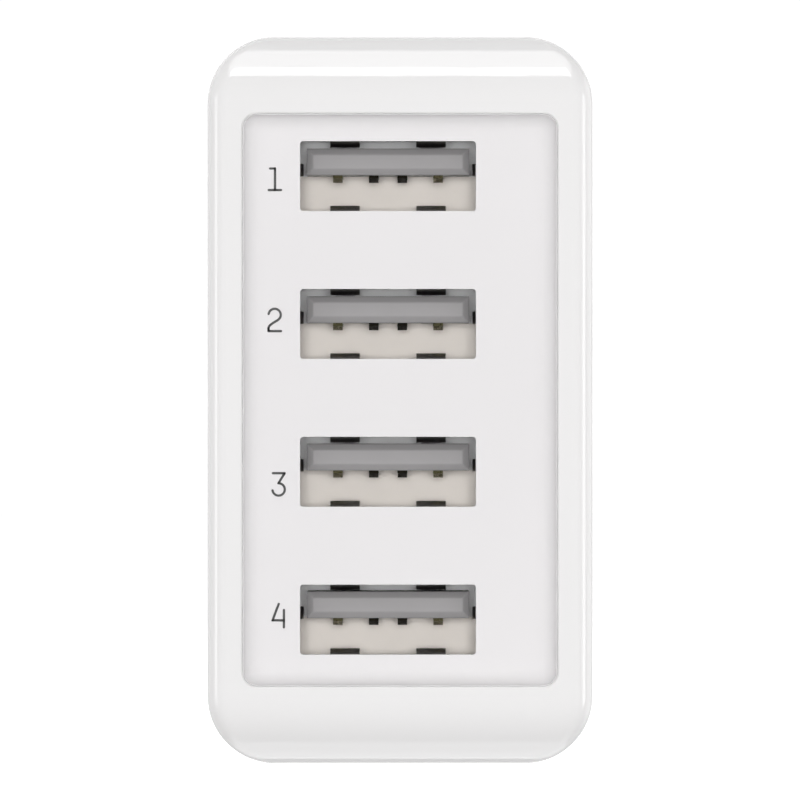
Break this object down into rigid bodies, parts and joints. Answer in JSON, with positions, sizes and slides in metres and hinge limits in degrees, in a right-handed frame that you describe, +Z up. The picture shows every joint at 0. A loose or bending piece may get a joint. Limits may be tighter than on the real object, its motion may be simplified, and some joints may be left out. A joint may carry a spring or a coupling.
{
  "type": "usb charger",
  "caption": "White wall charger: a tall rounded housing with a recessed panel of USB-A sockets in one column and a two-pin mains plug behind.",
  "frame": {"origin": "at the foot, under the middle of the whole length and width", "axes": "+Z up as in the picture, +X right, the sockets face -Y and the plug points along +Y"},
  "size_m": [0.0268, 0.0936, 0.0507],
  "materials": {
    "board_green": "green laminate",
    "can_sleeve": "shrunk sleeve over the can",
    "chip_black": "moulded package",
    "coil_tape": "yellow tape over the coil",
    "contact_gold": "gold flashed strip",
    "disc_blue": "dipped coating",
    "ferrite": "dull sintered",
    "housing_white": "smooth gloss moulding",
    "insulator_cream": "pale moulded insulator",
    "panel_white": "fine satin moulding",
    "pin_nickel": "nickel plated brass",
    "sleeve_dark": "dark insulating sleeve",
    "socket_steel": "bright rolled sheet",
    "strip_brass": "stamped strip",
    "tongue_grey": "grey moulded insulator"
  },
  "bodies": {
    "root": {"bridge_rectifier": "chip_black", "bulk_capacitor_lower": "can_sleeve", "bulk_capacitor_upper": "can_sleeve", "charge_chip": "chip_black", "front_panel": "panel_white", "fuse": "chip_black", "input_choke": "can_sleeve", "line_pin": "pin_nickel", "line_sleeve": "sleeve_dark", "line_strip": "strip_brass", "main_board": "board_green", "main_housing": "housing_white", "neutral_pin": "pin_nickel", "neutral_sleeve": "sleeve_dark", "neutral_strip": "strip_brass", "optocoupler": "chip_black", "output_capacitor_lower": "can_sleeve", "output_capacitor_upper": "can_sleeve", "output_rectifier": "chip_black", "port_1_back": "insulator_cream", "port_1_data_minus_contact": "contact_gold", "port_1_data_plus_contact": "contact_gold", "port_1_ground_contact": "contact_gold", "port_1_power_contact": "contact_gold", "port_1_shell": "socket_steel", "port_1_tongue": "tongue_grey", "port_2_back": "insulator_cream", "port_2_data_minus_contact": "contact_gold", "port_2_data_plus_contact": "contact_gold", "port_2_ground_contact": "contact_gold", "port_2_power_contact": "contact_gold", "port_2_shell": "socket_steel", "port_2_tongue": "tongue_grey", "port_3_back": "insulator_cream", "port_3_data_minus_contact": "contact_gold", "port_3_data_plus_contact": "contact_gold", "port_3_ground_contact": "contact_gold", "port_3_power_contact": "contact_gold", "port_3_shell": "socket_steel", "port_3_tongue": "tongue_grey", "port_4_back": "insulator_cream", "port_4_data_minus_contact": "contact_gold", "port_4_data_plus_contact": "contact_gold", "port_4_ground_contact": "contact_gold", "port_4_power_contact": "contact_gold", "port_4_shell": "socket_steel", "port_4_tongue": "tongue_grey", "port_board": "board_green", "rear_cap": "housing_white", "suppressor_capacitor": "disc_blue", "switching_chip": "chip_black", "transformer_coil": "coil_tape", "transformer_core": "ferrite"}
  },
  "joints": []
}
